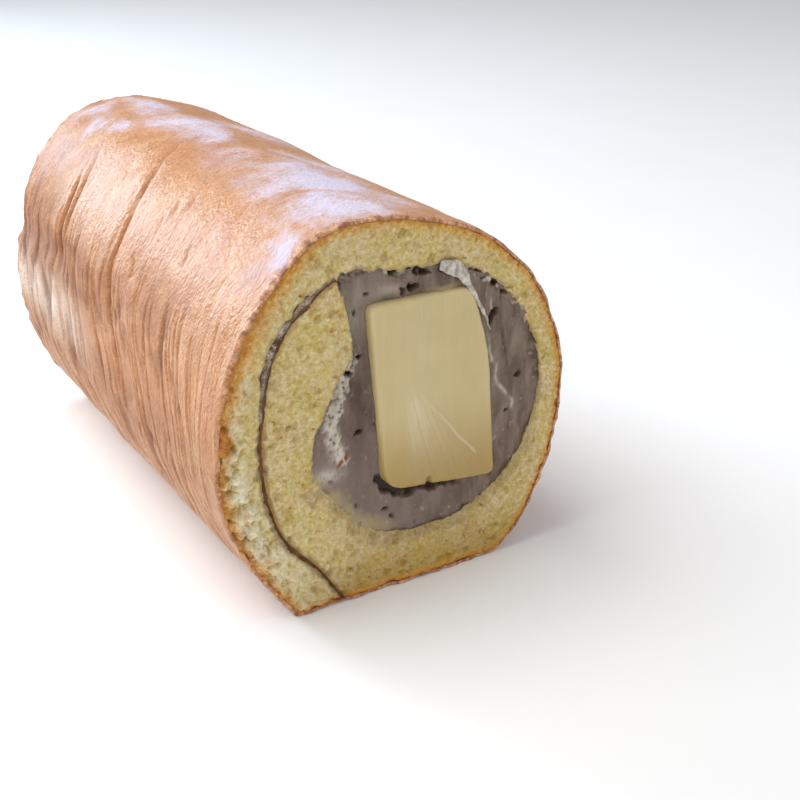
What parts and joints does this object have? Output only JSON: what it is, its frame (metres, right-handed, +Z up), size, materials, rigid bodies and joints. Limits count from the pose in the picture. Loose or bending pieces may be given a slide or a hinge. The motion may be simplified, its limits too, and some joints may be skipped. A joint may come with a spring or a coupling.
{
  "type": "swiss roll cake",
  "caption": "Rolled sponge cake with a knife-cut end that shows soft sponge, a root-paste filling and a bar of set milk pudding at the centre.",
  "frame": {"origin": "middle of the flat base, under the middle of the roll, on the surface it stands on", "axes": "+Z up, +Y along the roll from the cut face that shows towards the far end, +X to the right seen from that cut face"},
  "size_m": [0.0918, 0.1482, 0.0904],
  "materials": {
    "sponge": "baked sponge cake: thin tan skin on the outside, open pale yellow crumb at the cuts",
    "taro": "soft grey-lavender taro paste with smears and small air pits",
    "pudding": "smooth set milk pudding, moist, with fine knife streaks"
  },
  "bodies": {
    "root": {"sponge_roll": "sponge", "taro_paste": "taro", "milk_pudding": "pudding"}
  },
  "joints": []
}
